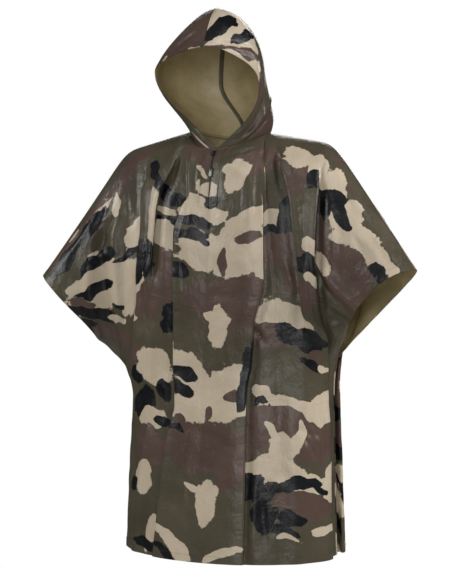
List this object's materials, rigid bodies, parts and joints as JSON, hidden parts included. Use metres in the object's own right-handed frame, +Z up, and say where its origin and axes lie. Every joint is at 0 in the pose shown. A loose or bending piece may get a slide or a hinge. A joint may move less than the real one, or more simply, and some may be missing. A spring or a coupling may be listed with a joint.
{
  "type": "rain poncho",
  "caption": "Hooded camouflage rain poncho in coated cloth, worn pose with nobody in it, with a short neck zip, a neck snap and wide open sleeves.",
  "frame": {"origin": "level with the front of the neck, midway between the shoulders, where the shoulders carry the poncho", "axes": "+Z up towards the hood, -Y out of the front, +X to the viewer's right, which is the wearer's left"},
  "size_m": [1.028, 0.3905, 1.393],
  "materials": {
    "coated_cloth": "coated, soft sheen",
    "tape": "matte",
    "dark_metal": "dark plated",
    "pale_metal": "satin"
  },
  "bodies": {
    "garment": {"front_panel": "coated_cloth", "back_panel": "coated_cloth", "hood_left": "coated_cloth", "hood_right": "coated_cloth", "hood_seam_tape": "tape", "placket_left": "coated_cloth", "placket_right": "coated_cloth", "zip_tape_left": "tape", "zip_tape_right": "tape", "zip_slider": "dark_metal", "neck_snap": "dark_metal"},
    "pull_tab": {"zip_pull": "pale_metal"}
  },
  "joints": [
    {"name": "pull_swing", "type": "hinge", "parent": "garment", "child": "pull_tab", "pos_m": [0, -0.13798, -0.07329], "axis": [-1, 0, 0], "range_deg": [0, 120]}
  ]
}
